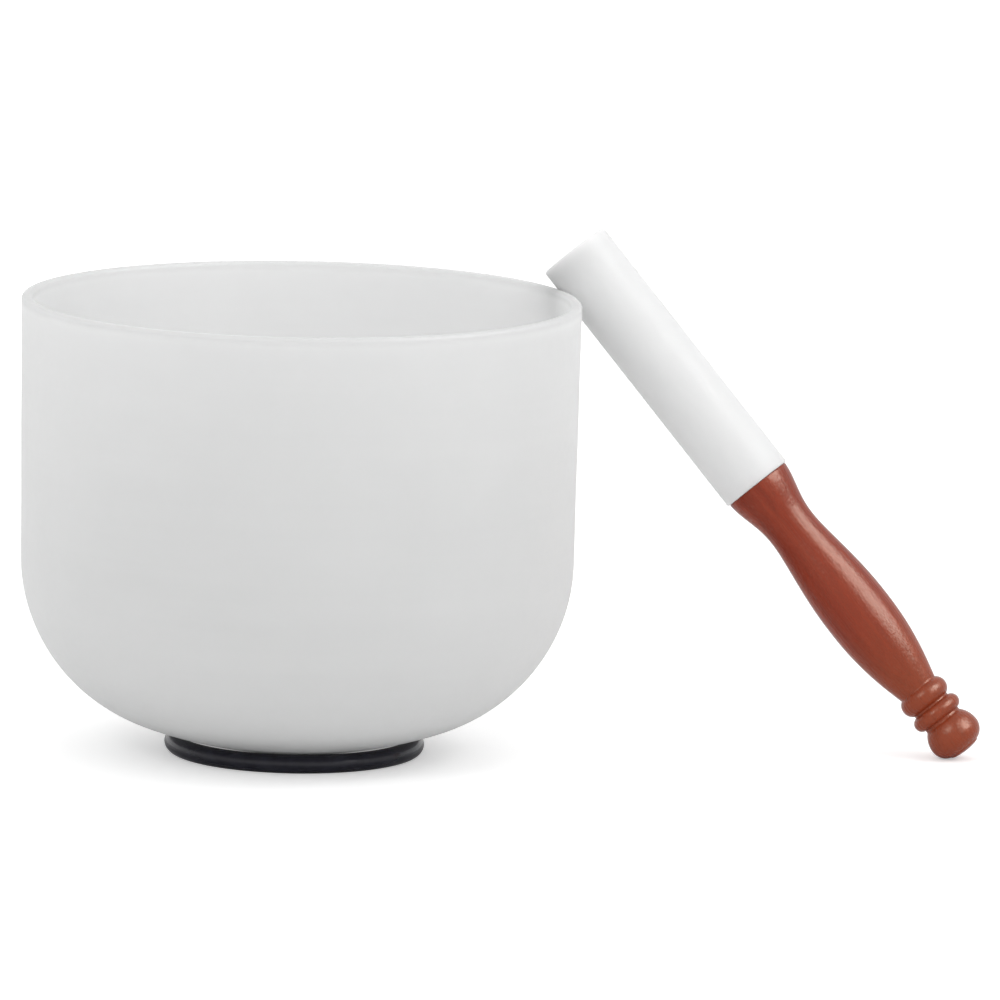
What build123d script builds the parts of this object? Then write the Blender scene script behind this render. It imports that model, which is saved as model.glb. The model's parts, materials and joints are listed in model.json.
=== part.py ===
from build123d import *

import os
from math import asin, cos, degrees, radians, sin, sqrt

# A frosted quartz singing bowl on its rubber ring, with the playing mallet leaning on the rim.
# Millimetres, +Z up. The origin is the centre of the ring's underside, on the surface that the
# bowl stands on, and Z is the bowl's own axis. The mallet leans on the rim from the +X side.

# Driving dimensions of the bowl, all measured on its outside
rim_radius = 127.0       # a 10 inch bowl
rim_height = 208.5       # top of the rim above the surface
wall = 5.0               # thickness of the quartz
wall_taper = 0.5         # degrees that the side leans in on its way down
corner_radius = 80.0     # where the side turns into the bottom
bottom_radius = 213.0    # the shallow spherical bottom
rim_edge = 1.8           # rounding of the ground rim's two edges

# Driving dimensions of the rubber ring
ring_tube = 4.4          # radius of its round section
ring_radius = 54.9       # circle that the centre of the section runs round
ring_flat = 0.25         # depth of the flat that the weight presses on its underside

clearance = 0.3          # gap between pieces that can move apart
knob_gap = 0.05          # gap between the mallet's knob and the surface

# Driving dimensions of the mallet's sleeve, and of the grip's core inside it
sleeve_length = 136.2
sleeve_radius = 17.0
sleeve_edge = 1.0        # rounding of the sleeve's outer edges
core_radius = 13.0
core_recess = 1.2        # how far the core's end sits inside the sleeve
core_chamfer = 1.0

# The grip's outline, as distance from the shoulder where the sleeve ends, and radius
shoulder_radius = 15.9
shoulder_edge = 0.6      # rounding of the shoulder
flare = (10.5, 14.1), (18, 12.4)
neck = (25, 11.75)
swell = (36, 12.5), (50, 14.25), (63, 15.45)
barrel = (75.5, 15.8)
taper_off = (88, 15.35), (99, 14.05), (110, 11.9)
grip_end = (119.2, 9.6)
bead_crests = (124.3, 11.95), (132.9, 12.15)
bead_ends = 128.4, 136.6
groove_width = 0.9
groove_radius = 9.2

# The knob is round towards the beads and blunter at its end
knob_centre = 146.2
knob_radius = 12.6
knob_back = 12.0         # radius of the outline on the beads' side
knob_front = 7.5         # radius of the outline at the end's corner
knob_front_turn = 72.0   # degrees of that corner, before the shallow dome
mallet_end = 154.9

# Where the mallet stands, seen from above
knob_x, knob_y = 302.0, 9.0
heading = 14.3           # degrees that the mallet points past -X, towards +Y


def mallet_direction(lean):
    """Unit vector along the mallet from the knob to the sleeve, at this lean above the surface."""
    flat = cos(radians(lean))
    return Vector(-flat * cos(radians(heading)), flat * sin(radians(heading)), sin(radians(lean)))


def knob_place(lean):
    """Centre of the knob when its corner stands on the surface at this lean."""
    height = knob_gap + knob_front + (knob_radius - knob_front) * cos(radians(lean))
    return Vector(knob_x, knob_y, height)


def gap_to_rim(lean):
    """Gap between the sleeve and the rounded outer edge of the rim."""
    edge_circle = rim_radius - rim_edge
    axis_gaps = []
    for quarter_degree in range(240):
        angle = radians(quarter_degree / 4)
        edge = Vector(edge_circle * cos(angle), edge_circle * sin(angle), rim_height - rim_edge)
        axis_gaps.append((edge - knob_place(lean)).cross(mallet_direction(lean)).length)
    return min(axis_gaps) - rim_edge - sleeve_radius


# The lean at which the sleeve comes to rest on the rim, found by halving
lean_low, lean_high = 40.0, 60.0
for _ in range(20):
    lean = (lean_low + lean_high) / 2
    if gap_to_rim(lean) > clearance:
        lean_high = lean
    else:
        lean_low = lean

# Half section of the bowl. Its spherical bottom rests on the ring, and its arcs are tangent.
ring_height = ring_tube - ring_flat
bottom_height = sqrt((bottom_radius + ring_tube + clearance) ** 2 - ring_radius**2) + ring_height
taper = radians(wall_taper)
reach = rim_radius * cos(taper) - (rim_height - bottom_height) * sin(taper) - corner_radius
turn = degrees(asin(reach / (bottom_radius - corner_radius))) - wall_taper
bottom_centre = Vector(0, bottom_height)
corner_centre = bottom_centre + Vector(0, corner_radius - bottom_radius).rotate(Axis.Z, turn)


def half_section(inset):
    """Bottom, corner and side of the bowl's section, moved in by inset. Returns both ends."""
    bottom = CenterArc(bottom_centre, bottom_radius - inset, -90, turn)
    corner = CenterArc(corner_centre, corner_radius - inset, turn - 90, 90 - turn - wall_taper)
    side = Line(corner @ 1, (rim_radius - inset / cos(taper), rim_height))
    return bottom @ 0, side @ 1


with BuildPart() as quartz_bowl:
    with BuildSketch(Plane.XZ):
        with BuildLine():
            outer_bottom, outer_rim = half_section(0)
            inner_bottom, inner_rim = half_section(wall)
            Line(outer_bottom, inner_bottom)
            Line(outer_rim, inner_rim)
        make_face()
    revolve(axis=Axis.Z)
    rim = quartz_bowl.faces().sort_by(Axis.Z)[-1]
    fillet(rim.edges(), rim_edge)

with BuildPart() as rubber_ring:
    with BuildSketch(Plane.XZ):
        with Locations((ring_radius, ring_height)):
            Circle(ring_tube)
        with Locations((ring_radius, 0)):
            above = 4 * ring_tube
            Rectangle(above, above, align=(Align.CENTER, Align.MIN), mode=Mode.INTERSECT)
    revolve(axis=Axis.Z)

# The mallet's own plane: x runs from the shoulder towards the knob, y is the radius
along = mallet_direction(lean)
shoulder = knob_place(lean) + along * knob_centre
mallet_plane = Plane(origin=shoulder, x_dir=-along, z_dir=along.cross(Vector(0, 0, 1)))
mallet_axis = Axis(shoulder, -along)

with BuildPart() as mallet_sleeve:
    with BuildSketch(mallet_plane):
        with Locations((-sleeve_length, core_radius)):
            Rectangle(sleeve_length, sleeve_radius - core_radius, align=(Align.MIN, Align.MIN))
    revolve(axis=mallet_axis)
    outer_edges = mallet_sleeve.edges().filter_by(GeomType.CIRCLE).sort_by(SortBy.RADIUS)[-2:]
    fillet(outer_edges, sleeve_edge)

with BuildPart() as mallet_handle:
    with BuildSketch(mallet_plane):
        with BuildLine():
            core_end = core_recess - sleeve_length
            Polyline(
                (core_end, 0),
                (core_end, core_radius - core_chamfer),
                (core_end + core_chamfer, core_radius),
                (0, core_radius),
                (0, shoulder_radius - shoulder_edge),
            )
            shoulder_start = (0, shoulder_radius - shoulder_edge)
            RadiusArc(shoulder_start, (shoulder_edge, shoulder_radius), shoulder_edge)
            Spline(
                (shoulder_edge, shoulder_radius),
                *flare,
                neck,
                *swell,
                barrel,
                *taper_off,
                grip_end,
                tangents=[(1, -0.05), (1, -0.25)],
            )
            ThreePointArc(grip_end, bead_crests[0], (bead_ends[0], groove_radius))
            groove = Line((bead_ends[0], groove_radius), (bead_ends[0] + groove_width, groove_radius))
            ThreePointArc(groove @ 1, bead_crests[1], (bead_ends[1], groove_radius))
            back_centre = Vector(knob_centre, knob_radius - knob_back)
            back_turn = degrees(asin((groove_radius - back_centre.Y) / knob_back)) - 90
            back = CenterArc(back_centre, knob_back, 90 - back_turn, back_turn)
            front_centre = (knob_centre, knob_radius - knob_front)
            front = CenterArc(front_centre, knob_front, 90, -knob_front_turn)
            Line((bead_ends[1], groove_radius), back @ 0)
            Spline(front @ 1, (mallet_end, 0), tangents=[front % 1, (0, -1)])
            Line((mallet_end, 0), (core_end, 0))
        make_face()
    revolve(axis=mallet_axis)

quartz_bowl.part.label = "quartz_bowl"
rubber_ring.part.label = "rubber_ring"
mallet_sleeve.part.label = "mallet_sleeve"
mallet_handle.part.label = "mallet_handle"

os.makedirs("parts", exist_ok=True)
export_step(quartz_bowl.part, "parts/quartz_bowl.step")
export_step(rubber_ring.part, "parts/rubber_ring.step")
export_step(mallet_sleeve.part, "parts/mallet_sleeve.step")
export_step(mallet_handle.part, "parts/mallet_handle.step")

# The strike hinge: the mallet swings up on its knob, about a level line across its own direction
hinge_axis = Vector(sin(radians(heading)), cos(radians(heading)), 0)
print("lean", round(lean, 3), "hinge at", tuple(knob_place(lean)), "about", tuple(hinge_axis))
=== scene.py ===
import json
from math import asin, atan2, cos, degrees, pi, radians, sin, sqrt

import bpy
from mathutils import Matrix, Quaternion, Vector, noise


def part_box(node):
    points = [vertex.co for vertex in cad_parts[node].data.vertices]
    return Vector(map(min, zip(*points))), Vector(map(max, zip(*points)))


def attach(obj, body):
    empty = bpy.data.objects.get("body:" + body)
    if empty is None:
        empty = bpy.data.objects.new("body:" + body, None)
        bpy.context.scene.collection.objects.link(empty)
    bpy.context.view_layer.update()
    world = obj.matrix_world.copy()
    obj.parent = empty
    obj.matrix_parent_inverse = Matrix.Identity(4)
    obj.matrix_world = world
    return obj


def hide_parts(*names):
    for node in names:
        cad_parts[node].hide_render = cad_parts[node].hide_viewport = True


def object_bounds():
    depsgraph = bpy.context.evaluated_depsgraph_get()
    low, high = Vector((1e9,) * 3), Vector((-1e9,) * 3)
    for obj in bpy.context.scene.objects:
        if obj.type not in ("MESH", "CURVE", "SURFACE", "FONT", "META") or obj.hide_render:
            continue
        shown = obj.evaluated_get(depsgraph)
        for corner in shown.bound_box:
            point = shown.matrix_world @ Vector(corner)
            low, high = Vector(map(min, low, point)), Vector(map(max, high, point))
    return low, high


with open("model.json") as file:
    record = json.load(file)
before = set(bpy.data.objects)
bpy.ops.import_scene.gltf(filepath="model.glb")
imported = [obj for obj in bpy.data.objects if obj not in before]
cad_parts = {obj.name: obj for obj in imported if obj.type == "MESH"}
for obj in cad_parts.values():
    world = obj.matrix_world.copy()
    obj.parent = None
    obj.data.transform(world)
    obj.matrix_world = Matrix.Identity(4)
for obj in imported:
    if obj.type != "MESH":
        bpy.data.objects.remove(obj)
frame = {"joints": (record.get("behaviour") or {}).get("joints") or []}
cad_low, cad_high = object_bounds()

# A frosted quartz singing bowl on its rubber ring, with its mallet leaning on the rim.
# Outlines are in millimetres and are placed by the boxes and joints of the frame, in metres.
MM = 0.001
SAME_POINT = 1e-4     # millimetres; closer points of an outline are taken as one
SLOPE_ROUNDS = 200    # rounds in which a curve's slopes settle


# ---------------------------------------------------------------- outlines

def arc(centre, radius, start, end, steps):
    """Points along a circle, from angle start to angle end in degrees."""
    angles = [radians(start + (end - start) * i / steps) for i in range(steps + 1)]
    return [(centre[0] + radius * cos(a), centre[1] + radius * sin(a)) for a in angles]


def line(start, end, steps):
    """Points evenly spaced from start to end."""
    (ax, ay), (bx, by) = start, end
    return [(ax + (bx - ax) * i / steps, ay + (by - ay) * i / steps) for i in range(steps + 1)]


def three_point_arc(start, middle, end, steps):
    """Points along the circle through three points."""
    (ax, ay), (bx, by), (cx, cy) = start, middle, end
    a, b, c = ax**2 + ay**2, bx**2 + by**2, cx**2 + cy**2
    d = 2 * (ax * (by - cy) + bx * (cy - ay) + cx * (ay - by))
    ux = (a * (by - cy) + b * (cy - ay) + c * (ay - by)) / d
    uy = (a * (cx - bx) + b * (ax - cx) + c * (bx - ax)) / d
    first, last = (degrees(atan2(y - uy, x - ux)) for x, y in (start, end))
    return arc((ux, uy), sqrt((ax - ux)**2 + (ay - uy)**2), first, last, steps)


def curve(knots, start_slope, end_slope, steps):
    """A smooth curve y(x) through the knots: the cubic spline with the given end slopes."""
    n = len(knots)
    x = [k[0] for k in knots]
    y = [k[1] for k in knots]
    slopes = [start_slope] + [0.0] * (n - 2) + [end_slope]
    for _ in range(SLOPE_ROUNDS):
        for i in range(1, n - 1):
            before, after = x[i] - x[i - 1], x[i + 1] - x[i]
            pull = 3 * (after * (y[i] - y[i - 1]) / before + before * (y[i + 1] - y[i]) / after)
            pull -= after * slopes[i - 1] + before * slopes[i + 1]
            slopes[i] = pull / (2 * (before + after))
    points = []
    for i in range(n - 1):
        h = x[i + 1] - x[i]
        for j in range(steps if i < n - 2 else steps + 1):
            t = j / steps
            value = ((2 * t**3 - 3 * t**2 + 1) * y[i] + (t**3 - 2 * t**2 + t) * h * slopes[i]
                     + (3 * t**2 - 2 * t**3) * y[i + 1] + (t**3 - t**2) * h * slopes[i + 1])
            points.append((x[i] + t * h, value))
    return points


def join(*runs):
    """One outline from several runs of points, without the doubled points where they meet."""
    outline = []
    for run in runs:
        for point in run:
            if not outline or (Vector(point) - Vector(outline[-1])).length > SAME_POINT:
                outline.append(point)
    return outline


# ---------------------------------------------------------------- meshes

# Each point's place before its piece is moved, which the material's patterns follow
OWN_PLACE = "own_place"


def turned(name, outline, sides, closed, wander=None):
    """A piece turned about its own Z from an outline of (radius, height) in millimetres.
    An outline that isn't closed starts and ends on the axis. wander(angle, radius, height)
    gives how far a point strays from its radius."""
    rings = outline if closed else outline[1:-1]
    verts, faces = [], []
    for radius, height in rings:
        for side in range(sides):
            angle = 2 * pi * side / sides
            r = radius + (wander(angle, radius, height) if wander else 0.0)
            verts.append((r * cos(angle) * MM, r * sin(angle) * MM, height * MM))
    count = len(rings)
    for i in range(count if closed else count - 1):
        a, b = i * sides, (i + 1) % count * sides
        for side in range(sides):
            after = (side + 1) % sides
            faces.append((a + side, a + after, b + after, b + side))
    if not closed:
        last_ring = (count - 1) * sides
        for height, base, flip in ((outline[0][1], 0, True), (outline[-1][1], last_ring, False)):
            pole = len(verts)
            verts.append((0, 0, height * MM))
            for side in range(sides):
                pair = (base + side, base + (side + 1) % sides)
                faces.append((pair[1], pair[0], pole) if flip else (pair[0], pair[1], pole))
    mesh = bpy.data.meshes.new(name)
    mesh.from_pydata(verts, [], faces)
    mesh.validate()
    mesh.shade_smooth()
    own = mesh.attributes.new(OWN_PLACE, "FLOAT_VECTOR", "POINT")
    own.data.foreach_set("vector", [c for vertex in mesh.vertices for c in vertex.co])
    piece = bpy.data.objects.new(name, mesh)
    bpy.context.scene.collection.objects.link(piece)
    return piece


def finish_piece(piece, material, body, node, place=None):
    """Gives the piece its material, puts it in place and lets it ride on its body."""
    piece.data.materials.append(material)
    if place:
        piece.data.transform(place)
    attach(piece, body)
    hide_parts(node)


# ---------------------------------------------------------------- materials

# A Mix node has sockets for several kinds of data; these are its factor and its two colours
COLOUR_MIX_INPUTS = 0, 6, 7
COLOUR_MIX_OUTPUT = 2


class Nodes:
    """A short way to build a material's nodes."""

    def __init__(self, name):
        self.material = bpy.data.materials.new(name)
        self.material.use_nodes = True
        self.tree = self.material.node_tree
        self.shader = self.tree.nodes["Principled BSDF"]
        place = self.add("ShaderNodeAttribute", attribute_name=OWN_PLACE)
        self.coordinates = place.outputs["Vector"]

    def add(self, kind, **settings):
        node = self.tree.nodes.new(kind)
        for key, value in settings.items():
            setattr(node, key, value)
        return node

    def link(self, output, target):
        self.tree.links.new(output, target)

    def fixed(self, **values):
        for key, value in values.items():
            self.shader.inputs[key.replace("_", " ")].default_value = value

    def stretched(self, scale):
        node = self.add("ShaderNodeMapping")
        node.inputs["Scale"].default_value = scale
        self.link(self.coordinates, node.inputs["Vector"])
        return node.outputs["Vector"]

    def noise(self, scale, detail=4.0, roughness=0.55, distortion=0.0, vector=None):
        node = self.add("ShaderNodeTexNoise")
        node.inputs["Scale"].default_value = scale
        node.inputs["Detail"].default_value = detail
        node.inputs["Roughness"].default_value = roughness
        node.inputs["Distortion"].default_value = distortion
        self.link(vector or self.coordinates, node.inputs["Vector"])
        return node.outputs["Fac"]

    def ramp(self, fac, *stops):
        """A colour ramp; each stop is (position, colour or grey value)."""
        node = self.add("ShaderNodeValToRGB")
        elements = node.color_ramp.elements
        while len(elements) < len(stops):
            elements.new(0.5)
        for element, (position, colour) in zip(elements, stops):
            element.position = position
            element.color = (*colour, 1) if isinstance(colour, tuple) else (colour,) * 3 + (1,)
        self.link(fac, node.inputs["Fac"])
        return node.outputs["Color"]

    def span(self, value, from_low, from_high, to_low, to_high, smooth=False):
        """The value moved from one range to another, and kept inside it."""
        kind = "SMOOTHSTEP" if smooth else "LINEAR"
        node = self.add("ShaderNodeMapRange", interpolation_type=kind)
        for key, number in zip(("From Min", "From Max", "To Min", "To Max"),
                               (from_low, from_high, to_low, to_high)):
            node.inputs[key].default_value = number
        self.link(value, node.inputs["Value"])
        return node.outputs["Result"]

    def math(self, operation, first, second):
        node = self.add("ShaderNodeMath", operation=operation)
        for socket, value in zip(node.inputs, (first, second)):
            if isinstance(value, (int, float)):
                socket.default_value = value
            else:
                self.link(value, socket)
        return node.outputs["Value"]

    def mix(self, fac, first, second, blend="MIX"):
        node = self.add("ShaderNodeMix", data_type="RGBA", blend_type=blend)
        sockets = (node.inputs[i] for i in COLOUR_MIX_INPUTS)
        for socket, value in zip(sockets, (fac, first, second)):
            if isinstance(value, tuple):
                socket.default_value = (*value, 1)
            elif isinstance(value, (int, float)):
                socket.default_value = value
            else:
                self.link(value, socket)
        return node.outputs[COLOUR_MIX_OUTPUT]

    def bump(self, *layers):
        """Bump layers, each (height output, strength, distance in metres)."""
        normal = None
        for height, strength, distance in layers:
            node = self.add("ShaderNodeBump")
            node.inputs["Strength"].default_value = strength
            node.inputs["Distance"].default_value = distance
            self.link(height, node.inputs["Height"])
            if normal:
                self.link(normal, node.inputs["Normal"])
            normal = node.outputs["Normal"]
        self.link(normal, self.shader.inputs["Normal"])

    def heights(self):
        """The piece's own Z, in metres."""
        node = self.add("ShaderNodeSeparateXYZ")
        self.link(self.coordinates, node.inputs["Vector"])
        return node.outputs["Z"]


# Heights in metres between which the quartz changes: painted shade darkens the rim's top
# and the lower bowl towards the foot, and the quartz is less translucent where it stands on the
# ring
RIM_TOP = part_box("quartz_bowl")[1].z
PAINTED_RIM_SHADE = RIM_TOP - 0.0050, RIM_TOP - 0.0002
PAINTED_FOOT_SHADE = 0.015, 0.100
DENSE_FOOT = 0.012, 0.026

# Distances from the grip's shoulder in metres, between which the lacquer gets paler with wear
WORN_END = 0.070, 0.125


def quartz_material():
    """Frosted quartz: a fine sandblasted skin over milky glass, faintly cloudy."""
    m = Nodes("frosted_quartz")
    clouds = m.noise(14.0, detail=3.0)
    bands = m.noise(1.0, detail=3.0, vector=m.stretched((3.0, 3.0, 55.0)))
    shade = m.math("ADD", m.math("MULTIPLY", clouds, 0.6), m.math("MULTIPLY", bands, 0.4))
    colour = m.ramp(shade, (0.30, (0.623, 0.628, 0.628)), (0.70, (0.668, 0.672, 0.671)))
    # Painted shade: the quartz is made greyer towards the foot, where the lower bowl falls into
    # shade
    foot_shade_mask = m.span(m.heights(), *PAINTED_FOOT_SHADE, 0.24, 0.0)
    colour = m.mix(foot_shade_mask, colour, (0.45, 0.453, 0.453))
    # Painted shade: a darker grey over the top 5 mm of the rim, toning down the light it catches
    # from above
    rim_shade_mask = m.span(m.heights(), *PAINTED_RIM_SHADE, 0.0, 0.58, smooth=True)
    colour = m.mix(rim_shade_mask, colour, (0.34, 0.343, 0.343))
    m.link(colour, m.shader.inputs["Base Color"])
    milky = m.span(m.heights(), *DENSE_FOOT, 0.25, 1.0, smooth=True)
    m.link(milky, m.shader.inputs["Subsurface Weight"])
    grit = m.noise(1500.0, detail=2.0)
    frost = m.noise(260.0, detail=3.0)
    m.link(m.span(frost, 0.3, 0.7, 0.52, 0.66), m.shader.inputs["Roughness"])
    m.bump((clouds, 0.15, 0.0006), (grit, 0.25, 0.00012))
    m.fixed(IOR=1.46, Subsurface_Radius=(1.0, 1.0, 1.0), Subsurface_Scale=0.040,
            Specular_IOR_Level=0.45, Sheen_Weight=0.05, Sheen_Roughness=0.4)
    return m.material


def silicone_material():
    """White silicone rubber: soft, smooth and satin, with faint handling marks."""
    m = Nodes("white_silicone")
    marks = m.noise(60.0, detail=5.0, distortion=0.4, vector=m.stretched((1.0, 1.0, 0.35)))
    colour = m.ramp(marks, (0.35, (0.855, 0.860, 0.860)), (0.65, (0.885, 0.889, 0.887)))
    m.link(colour, m.shader.inputs["Base Color"])
    m.link(m.span(marks, 0.3, 0.7, 0.42, 0.54), m.shader.inputs["Roughness"])
    m.bump((m.noise(900.0, detail=2.0), 0.12, 0.0001), (marks, 0.1, 0.0003))
    m.fixed(IOR=1.41, Subsurface_Weight=1.0, Subsurface_Radius=(1.0, 1.0, 1.0),
            Subsurface_Scale=0.008, Specular_IOR_Level=0.15)
    return m.material


def rubber_material():
    """Black moulded rubber with a satin skin and a trace of bloom."""
    m = Nodes("black_rubber")
    bloom = m.noise(90.0, detail=5.0)
    colour = m.ramp(bloom, (0.35, (0.013, 0.013, 0.021)), (0.70, (0.021, 0.021, 0.032)))
    m.link(colour, m.shader.inputs["Base Color"])
    m.link(m.span(bloom, 0.3, 0.7, 0.17, 0.24), m.shader.inputs["Roughness"])
    m.bump((m.noise(1100.0, detail=2.0), 0.15, 0.0001))
    m.fixed(IOR=1.5, Specular_IOR_Level=0.36)
    return m.material


def wood_material():
    """Turned hardwood under reddish-brown lacquer, its grain running along the mallet."""
    m = Nodes("turned_wood")
    figure = m.noise(1.0, detail=4.0, distortion=1.2, vector=m.stretched((95.0, 95.0, 6.0)))
    fibres = m.noise(1.0, detail=5.0, roughness=0.65, vector=m.stretched((700.0, 700.0, 26.0)))
    pores = m.noise(1.0, detail=2.0, vector=m.stretched((1500.0, 1500.0, 60.0)))
    base = m.ramp(figure, (0.30, (0.215, 0.022, 0.008)), (0.52, (0.260, 0.030, 0.011)),
                  (0.75, (0.305, 0.042, 0.016)))
    worn = m.span(m.heights(), *WORN_END, 0.0, 0.50, smooth=True)
    base = m.mix(worn, base, (0.320, 0.070, 0.026))
    grain = m.ramp(fibres, (0.32, 0.80), (0.60, 1.0))
    colour = m.mix(0.75, base, grain, "MULTIPLY")
    colour = m.mix(m.span(pores, 0.66, 0.74, 0.0, 0.30), colour, (0.075, 0.016, 0.010))
    m.link(colour, m.shader.inputs["Base Color"])
    m.link(m.span(fibres, 0.3, 0.7, 0.31, 0.23), m.shader.inputs["Roughness"])
    tool_marks = m.noise(1.0, detail=2.0, vector=m.stretched((20.0, 20.0, 900.0)))
    specks = m.noise(520.0, detail=4.0, roughness=0.65)
    m.bump((fibres, 0.30, 0.00035), (tool_marks, 0.10, 0.00015), (specks, 0.44, 0.00045))
    m.fixed(IOR=1.5, Specular_IOR_Level=0.36, Specular_Tint=(1.0, 0.93, 0.78, 1.0))
    return m.material


# ---------------------------------------------------------------- bowl

WALL = 5.0            # thickness of the quartz
TAPER = 0.5           # degrees that the side leans in on its way down
CORNER = 80.0         # radius where the side turns into the bottom
BOTTOM = 213.0        # radius of the spherical bottom
RIM_EDGE = 1.8        # rounding of the rim's two edges
ARC_STEPS = 40        # steps of the bottom, the corner and the side
EDGE_STEPS = 10       # steps of a small rounded edge
UNEVENNESS = 0.16     # how far the surface strays inwards, up to twice this
UNEVEN_OVER = 45.0    # size of its hollows
EVEN_BELOW_RIM = 6.0  # nothing strays this close to the rim's top
FADE_BELOW_RIM = 30.0
FADE_FROM_AXIS = 60.0
BOWL_SIDES = 300

bowl_low, bowl_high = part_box("quartz_bowl")
rim_radius, rim_height = bowl_high.x / MM, bowl_high.z / MM
bottom_height = bowl_low.z / MM + BOTTOM
taper = radians(TAPER)
reach = rim_radius * cos(taper) - (rim_height - bottom_height) * sin(taper) - CORNER
turn = degrees(asin(reach / (BOTTOM - CORNER))) - TAPER
corner_centre = ((BOTTOM - CORNER) * sin(radians(turn)),
                 bottom_height - (BOTTOM - CORNER) * cos(radians(turn)))


def side_radius(height, inset):
    """Radius of the bowl's side, moved in by inset, at this height."""
    return rim_radius - (rim_height - height) * sin(taper) / cos(taper) - inset / cos(taper)


def side_of_bowl(inset, top):
    """Outline of the bottom, corner and side, moved in by inset, up to the height top."""
    bottom = arc((0, bottom_height), BOTTOM - inset, -90, turn - 90, ARC_STEPS)
    corner = arc(corner_centre, CORNER - inset, turn - 90, -TAPER, ARC_STEPS)
    return join(bottom, corner, line(corner[-1], (side_radius(top, inset), top), ARC_STEPS))


def bowl_wander(angle, radius, height):
    """The slight unevenness of a spun quartz bowl, always inwards, none at the rim's outer edge."""
    point = Vector((radius * cos(angle), radius * sin(angle), height)) / UNEVEN_OVER
    rim_fade = min(1.0, max(0.0, (rim_height - EVEN_BELOW_RIM - height) / FADE_BELOW_RIM))
    fade = rim_fade * min(1.0, radius / FADE_FROM_AXIS)
    return -UNEVENNESS * (1 + noise.noise(point)) * fade


rim_low = rim_height - RIM_EDGE
outer = side_of_bowl(0, rim_low)
inner = side_of_bowl(WALL, rim_low)
outer_edge = arc((side_radius(rim_low, RIM_EDGE), rim_low), RIM_EDGE, 0, 90, EDGE_STEPS)
inner_edge = arc((side_radius(rim_low, WALL - RIM_EDGE), rim_low), RIM_EDGE, 90, 180, EDGE_STEPS)
bowl_outline = join(outer, outer_edge, inner_edge, inner[::-1])
bowl = turned("frosted_bowl", bowl_outline, BOWL_SIDES, False, bowl_wander)
finish_piece(bowl, quartz_material(), "bowl", "quartz_bowl")

# ---------------------------------------------------------------- ring

TUBE = 4.4            # radius of its round section
FLASH = 0.12          # height of the mould's parting line on the ring's outside and inside
FLASH_HALF = 0.07     # sine of half the angle that the parting line takes up
SECTION_STEPS = 96    # steps round the section
RING_SIDES = 300

ring_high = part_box("rubber_ring")[1]
tube_circle = ring_high.x / MM - TUBE
tube_height = ring_high.z / MM - TUBE


def ring_outline():
    """The round section, flattened where it stands, with its fine parting lines."""
    points = []
    for i in range(SECTION_STEPS):
        angle = 2 * pi * i / SECTION_STEPS
        flash = FLASH * max(0.0, 1 - abs(sin(angle)) / FLASH_HALF)
        r = TUBE - FLASH + flash if abs(sin(angle)) < FLASH_HALF else TUBE - FLASH * 0.5
        points.append((tube_circle + r * cos(angle), max(tube_height + r * sin(angle), 0.0)))
    return points


ring = turned("rubber_o_ring", ring_outline(), RING_SIDES, True)
finish_piece(ring, rubber_material(), "ring", "rubber_ring")

# ---------------------------------------------------------------- mallet

SLEEVE_LENGTH = 136.2
SLEEVE_RADIUS = 17.0
SLEEVE_EDGE = 1.0
CORE_RADIUS = 13.0
CORE_RECESS = 1.2     # how far the core's end sits inside the sleeve
CORE_CHAMFER = 1.0
SHOULDER_EDGE = 0.6

# Points of the handle, as distance from the shoulder, where the sleeve ends, and radius
GRIP = ((0.6, 15.9), (10.5, 14.1), (18, 12.4), (25, 11.75), (36, 12.5), (50, 14.25), (63, 15.45),
        (75.5, 15.8), (88, 15.35), (99, 14.05), (110, 11.9), (119.2, 9.6))
GRIP_SLOPES = -0.05, -0.25
GROOVE = 9.2
FIRST_BEAD = (119.2, 9.6), (124.3, 11.95), (128.4, GROOVE)
SECOND_BEAD = (129.3, GROOVE), (132.9, 12.15), (136.6, GROOVE)
KNOB = 146.2          # from the shoulder to the knob's centre
KNOB_RADIUS = 12.6
KNOB_BACK = 12.0      # radius of the outline on the beads' side
KNOB_FRONT = 7.5      # radius of the outline at the end's corner
KNOB_FRONT_TURN = 72  # degrees of that corner, before the shallow dome
MALLET_END = 154.9
KNOB_STEPS = 24       # steps of each of the knob's two arcs
BEAD_STEPS = 28
GRIP_STEPS = 12       # steps between two points of the grip
SLEEVE_SIDES = 200
HANDLE_SIDES = 180

strike = next(j for j in frame["joints"] if j["name"] == "mallet_strike")
knob_at = Vector(strike["pos_m"])
sleeve_low, sleeve_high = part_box("mallet_sleeve")
sleeve_middle = (sleeve_low + sleeve_high) / 2
along = (knob_at - sleeve_middle).normalized()
shoulder_at = sleeve_middle + along * SLEEVE_LENGTH / 2 * MM
mallet_place = Matrix.Translation(shoulder_at) @ along.to_track_quat("Z", "Y").to_matrix().to_4x4()


def swap(points):
    """From (distance along the mallet, radius) to (radius, distance)."""
    return [(r, x) for x, r in points]


far = -SLEEVE_LENGTH
sleeve_rim = SLEEVE_RADIUS - SLEEVE_EDGE
sleeve_outline = join(
    line((far, CORE_RADIUS), (far, sleeve_rim), 6),
    arc((far + SLEEVE_EDGE, sleeve_rim), SLEEVE_EDGE, 180, 90, EDGE_STEPS),
    line((far + SLEEVE_EDGE, SLEEVE_RADIUS), (-SLEEVE_EDGE, SLEEVE_RADIUS), 90),
    arc((-SLEEVE_EDGE, sleeve_rim), SLEEVE_EDGE, 90, 0, EDGE_STEPS),
    line((0, sleeve_rim), (0, CORE_RADIUS), 6),
    line((0, CORE_RADIUS), (far, CORE_RADIUS), 40)[:-1],
)
sleeve = turned("silicone_sleeve", swap(sleeve_outline), SLEEVE_SIDES, True)
finish_piece(sleeve, silicone_material(), "mallet", "mallet_sleeve", mallet_place)

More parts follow.
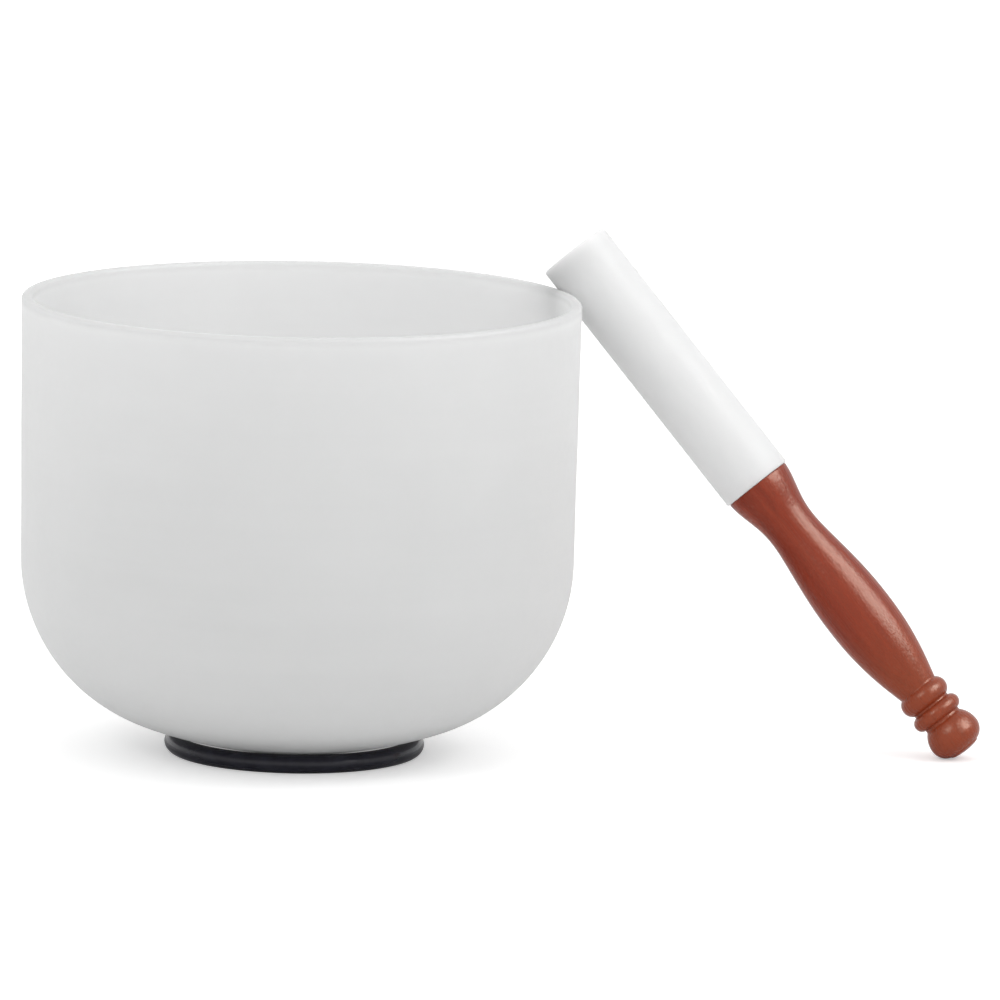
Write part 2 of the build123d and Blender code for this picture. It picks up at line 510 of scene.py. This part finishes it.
core_end = far + CORE_RECESS
core_side = core_end + CORE_CHAMFER
knob_back_centre = (KNOB, KNOB_RADIUS - KNOB_BACK)
back_turn = degrees(asin((GROOVE - knob_back_centre[1]) / KNOB_BACK)) - 90
knob_front = arc((KNOB, KNOB_RADIUS - KNOB_FRONT), KNOB_FRONT, 90, 90 - KNOB_FRONT_TURN, KNOB_STEPS)
dome_from, dome_radius = knob_front[-1]
dome = [(dome_from + (MALLET_END - dome_from) * sin(radians(a)), dome_radius * cos(radians(a)))
        for a in range(0, 91, 6)]
handle_outline = join(
    [(core_end, 0)],
    line((core_end, 2), (core_end, CORE_RADIUS - CORE_CHAMFER), 6),
    line((core_end, CORE_RADIUS - CORE_CHAMFER), (core_side, CORE_RADIUS), 3),
    line((core_side, CORE_RADIUS), (0, CORE_RADIUS), 40),
    line((0, CORE_RADIUS), (0, GRIP[0][1] - SHOULDER_EDGE), 4),
    arc((SHOULDER_EDGE, GRIP[0][1] - SHOULDER_EDGE), SHOULDER_EDGE, 180, 90, 6),
    curve(GRIP, *GRIP_SLOPES, GRIP_STEPS),
    three_point_arc(*FIRST_BEAD, BEAD_STEPS),
    line(FIRST_BEAD[-1], SECOND_BEAD[0], 3),
    three_point_arc(*SECOND_BEAD, BEAD_STEPS),
    line(SECOND_BEAD[-1], (KNOB + KNOB_BACK * cos(radians(90 - back_turn)), GROOVE), 3),
    arc(knob_back_centre, KNOB_BACK, 90 - back_turn, 90, KNOB_STEPS),
    knob_front,
    dome,
)
handle = turned("turned_handle", swap(handle_outline), HANDLE_SIDES, False)
finish_piece(handle, wood_material(), "mallet", "mallet_handle", mallet_place)

# ---------------------------------------------------------------- floor, light, camera

FLOOR_LIFT = 0.40     # how much paler the floor shows than the light it returns
SKY_AT_HORIZON = 0.88
SKY_OVERHEAD = 0.97
FLOOR_REACH = 40      # metres from the middle to a side

floor_mesh = bpy.data.meshes.new("floor")
corners = [(x * FLOOR_REACH, y * FLOOR_REACH, 0) for x, y in ((-1, -1), (1, -1), (1, 1), (-1, 1))]
floor_mesh.from_pydata(corners, [], [(0, 1, 2, 3)])
floor = bpy.data.objects.new("floor", floor_mesh)
bpy.context.scene.collection.objects.link(floor)
paper = Nodes("floor_paper")
paper.fixed(Base_Color=(0.85, 0.85, 0.85, 1), Roughness=0.9, Specular_IOR_Level=0.0,
            Emission_Color=(1, 1, 1, 1))
seen = paper.add("ShaderNodeLightPath").outputs["Is Camera Ray"]
paper.link(paper.math("MULTIPLY", seen, FLOOR_LIFT), paper.shader.inputs["Emission Strength"])
floor_mesh.materials.append(paper.material)

world = bpy.data.worlds.new("studio")
bpy.context.scene.world = world
world.use_nodes = True
sky = world.node_tree
sky_place = sky.nodes.new("ShaderNodeTexCoord")
sky_height = sky.nodes.new("ShaderNodeSeparateXYZ")
sky_shade = sky.nodes.new("ShaderNodeMapRange")
sky_shade.inputs["To Min"].default_value = SKY_AT_HORIZON
sky_shade.inputs["To Max"].default_value = SKY_OVERHEAD
sky.links.new(sky_place.outputs["Generated"], sky_height.inputs["Vector"])
sky.links.new(sky_height.outputs["Z"], sky_shade.inputs["Value"])
sky.links.new(sky_shade.outputs["Result"], sky.nodes["Background"].inputs["Strength"])
sky.nodes["Background"].inputs["Color"].default_value = (1, 1, 1, 1)


def softbox(name, direction, distance, size, power, gloss_only=False):
    """A square soft light in this direction from the middle of the object."""
    data = bpy.data.lights.new(name, "AREA")
    data.shape = "SQUARE"
    data.size = size
    data.energy = power
    lamp = bpy.data.objects.new(name, data)
    bpy.context.scene.collection.objects.link(lamp)
    aim = Vector(direction).normalized()
    lamp.location = (cad_low + cad_high) / 2 + aim * distance
    lamp.rotation_mode = "QUATERNION"
    lamp.rotation_quaternion = aim.to_track_quat("Z", "Y")
    lamp.visible_diffuse = not gloss_only


# The gloss lights only give highlights; they don't light matt surfaces
KEY, KEY_DISTANCE = (0.69, -0.29, 0.67), 2.0
SECOND, SECOND_DISTANCE = (-0.45, -0.70, 0.55), 2.2
softbox("key", KEY, KEY_DISTANCE, size=0.60, power=5.2)
softbox("key_gloss", KEY, KEY_DISTANCE, size=1.30, power=68.0, gloss_only=True)
softbox("second", SECOND, SECOND_DISTANCE, size=0.36, power=3.5)
softbox("second_gloss", SECOND, SECOND_DISTANCE, size=0.50, power=12.0, gloss_only=True)

CAMERA_DISTANCE = 4.70
CAMERA_ELEVATION = 10.537     # degrees above the floor
CAMERA_ROLL = 1.2
CAMERA_LENS = 370.6
CAMERA_AIM = Vector((0.0920, 0.0212, 0.1142))
camera_data = bpy.data.cameras.new("camera")
camera_data.lens = CAMERA_LENS
camera_data.sensor_width = 36
camera = bpy.data.objects.new("camera", camera_data)
bpy.context.scene.collection.objects.link(camera)
elevation = radians(CAMERA_ELEVATION)
camera.location = Vector((0, -cos(elevation), sin(elevation))) * CAMERA_DISTANCE
level_turn = (CAMERA_AIM - camera.location).to_track_quat("-Z", "Y")
camera.rotation_mode = "QUATERNION"
camera.rotation_quaternion = level_turn @ Quaternion((0, 0, 1), radians(CAMERA_ROLL))
camera_data.clip_end = 200
bpy.context.scene.camera = camera
bpy.context.scene.view_settings.view_transform = "Standard"
